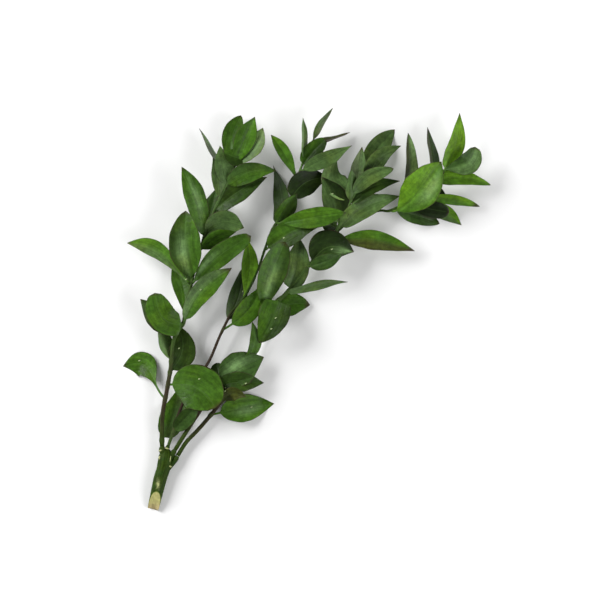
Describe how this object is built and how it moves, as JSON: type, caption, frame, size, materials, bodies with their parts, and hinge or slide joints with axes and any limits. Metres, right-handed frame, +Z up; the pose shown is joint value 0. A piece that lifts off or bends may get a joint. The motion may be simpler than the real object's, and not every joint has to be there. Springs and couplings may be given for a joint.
{
  "type": "cut foliage stem",
  "caption": "Cut spray of broad-leaved ruscus lying flat: a thick cane that forks into thin stems with stiff pointed leaves.",
  "frame": {"origin": "on the table, under the middle of the spray's outline", "axes": "+Z up from the table, +Y from the cut end of the cane towards the leaf tips, +X towards the far right branch"},
  "size_m": [0.369, 0.4037, 0.0448],
  "materials": {
    "cane": "fresh green bark, satin",
    "leaves": "waxy green, satin"
  },
  "bodies": {
    "root": {"main_cane": "cane", "left_leafy_branch": "leaves", "middle_leafy_branch": "leaves", "right_leafy_branch": "leaves", "far_right_leafy_branch": "leaves"}
  },
  "joints": []
}
